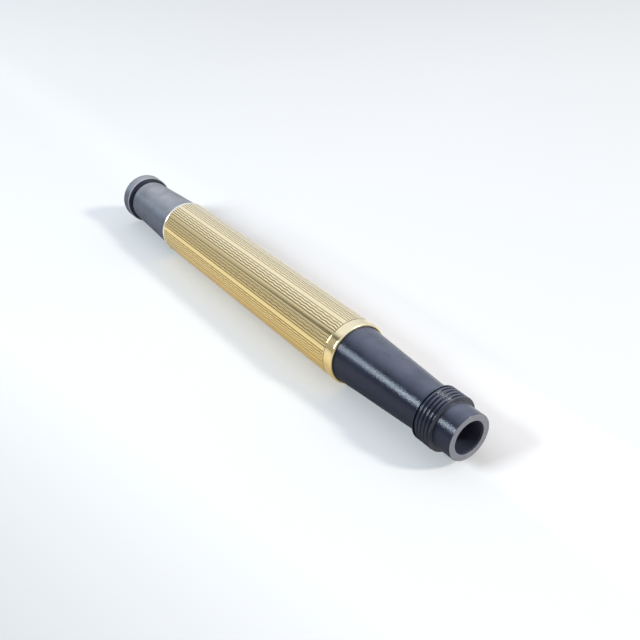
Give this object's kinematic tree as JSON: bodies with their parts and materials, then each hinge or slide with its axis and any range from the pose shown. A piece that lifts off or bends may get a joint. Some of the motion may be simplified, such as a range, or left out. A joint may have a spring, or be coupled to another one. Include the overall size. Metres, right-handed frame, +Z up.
{
  "type": "safety fountain pen",
  "caption": "Retracting-nib fountain pen with a turning tail knob, an engraved metal overlay on a hard rubber barrel and a threaded open mouth.",
  "frame": {"origin": "bottom centre of the pen's box, on the surface that the overlay rests on, halfway along its length", "axes": "+X along the pen towards the open mouth, +Z up, +Y to the left when looking towards the mouth"},
  "size_m": [0.1158, 0.012, 0.012],
  "materials": {
    "barrel_rubber": "semi-gloss black hard rubber",
    "tail_rubber": "matte aged hard rubber",
    "overlay_gold": "engraved and polished gold-filled metal",
    "nib_gold": "polished gold",
    "tipping": "ground hard tipping alloy",
    "brass": "turned brass",
    "steel": "drawn steel rod",
    "cork": "greased cork"
  },
  "bodies": {
    "barrel": {"barrel": "barrel_rubber", "overlay_sleeve": "overlay_gold", "tail_cone": "tail_rubber", "packing_washer_rear": "brass", "cork_rear": "cork", "packing_washer_middle": "brass", "cork_front": "cork", "packing_washer_front": "brass", "gland_nut": "brass"},
    "spiral": {"spiral_tube": "barrel_rubber", "spindle": "steel", "spindle_pin": "steel", "turning_knob": "tail_rubber", "knob_pin": "steel"},
    "carrier": {"nib_carrier": "barrel_rubber", "carrier_pin": "steel", "feed": "barrel_rubber", "nib": "nib_gold", "tipping_left": "tipping", "tipping_right": "tipping"}
  },
  "joints": [
    {"name": "knob_turn", "type": "hinge", "parent": "barrel", "child": "spiral", "pos_m": [-0.0579, 0, 0.00598], "axis": [1, 0, 0], "range_deg": [0, 720]},
    {"name": "nib_slide", "type": "slide", "parent": "barrel", "child": "carrier", "axis": [1, 0, 0], "range_m": [0, 0.028]}
  ],
  "couplings": [
    {"joint": "knob_turn", "follows": "nib_slide", "rad_per_m": 448.79}
  ]
}
